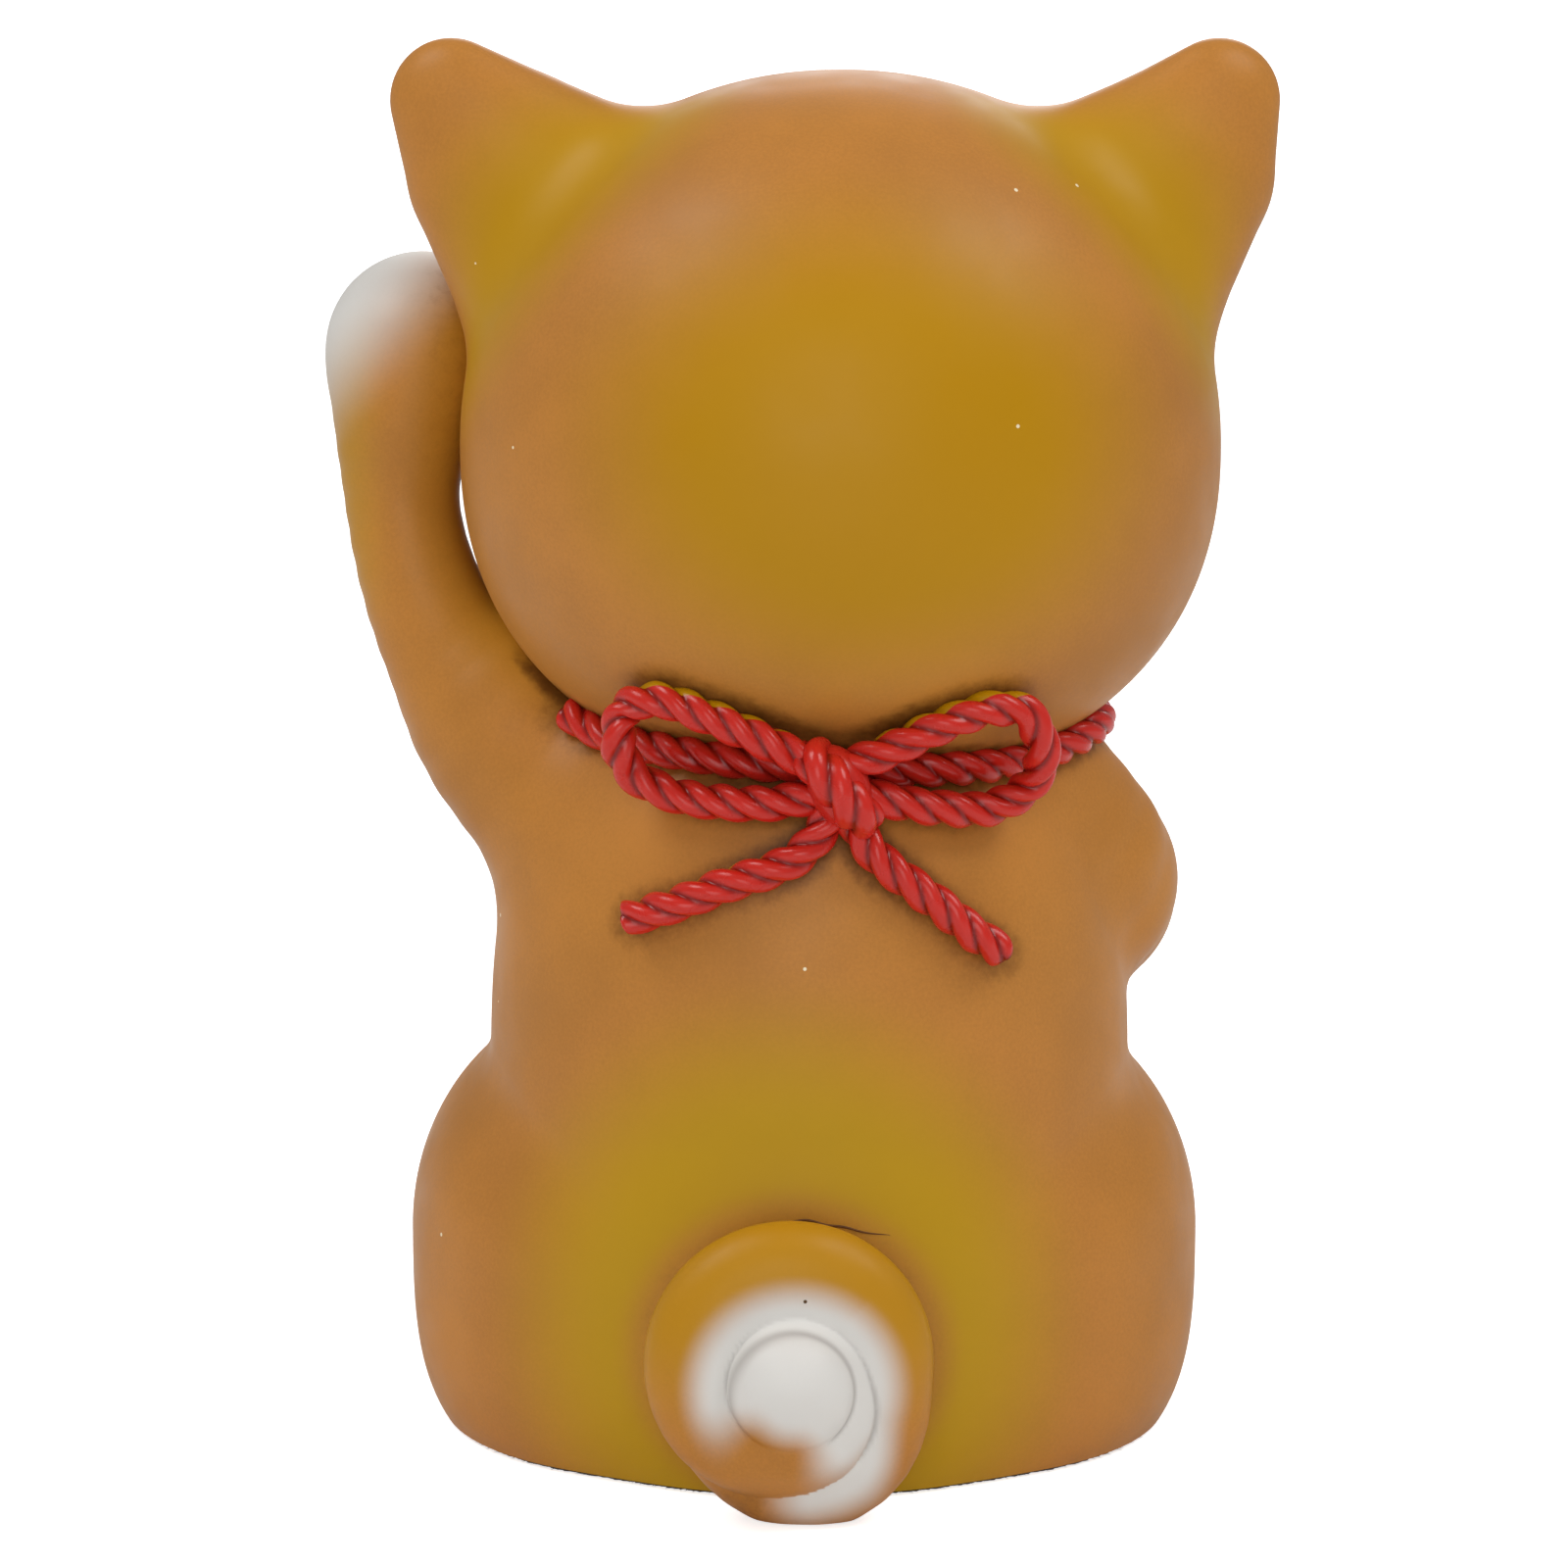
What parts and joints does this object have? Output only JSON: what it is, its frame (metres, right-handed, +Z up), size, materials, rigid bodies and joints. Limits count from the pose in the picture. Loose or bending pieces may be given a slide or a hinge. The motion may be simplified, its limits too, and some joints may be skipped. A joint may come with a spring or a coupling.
{
  "type": "dog figurine",
  "caption": "Seated beckoning dog with a raised paw, curled tail and a twisted cord bow at its neck, a painted cast resin ornament on a felt base.",
  "frame": {"origin": "on the underside of the felt, below the middle of the torso", "axes": "the dog faces -Y, +X is its own left, +Z is up"},
  "size_m": [0.0674, 0.0614, 0.0998],
  "materials": {
    "painted_resin": "satin airbrushed paint on cold cast resin",
    "tail_paint": "satin airbrushed paint on cold cast resin",
    "cord_paint": "satin hand painted resin",
    "gold_paint": "metallic hand painted resin",
    "felt": "fuzzy wool felt"
  },
  "bodies": {
    "root": {"torso_casting": "painted_resin", "head_casting": "painted_resin", "raised_arm_casting": "painted_resin", "tail_casting": "tail_paint", "neck_cord": "cord_paint", "bow_loop_left": "cord_paint", "bow_loop_right": "cord_paint", "bow_end_left": "cord_paint", "bow_end_right": "cord_paint", "bow_knot": "cord_paint", "bell_casting": "gold_paint", "coin_casting": "gold_paint", "felt_pad": "felt"}
  },
  "joints": []
}
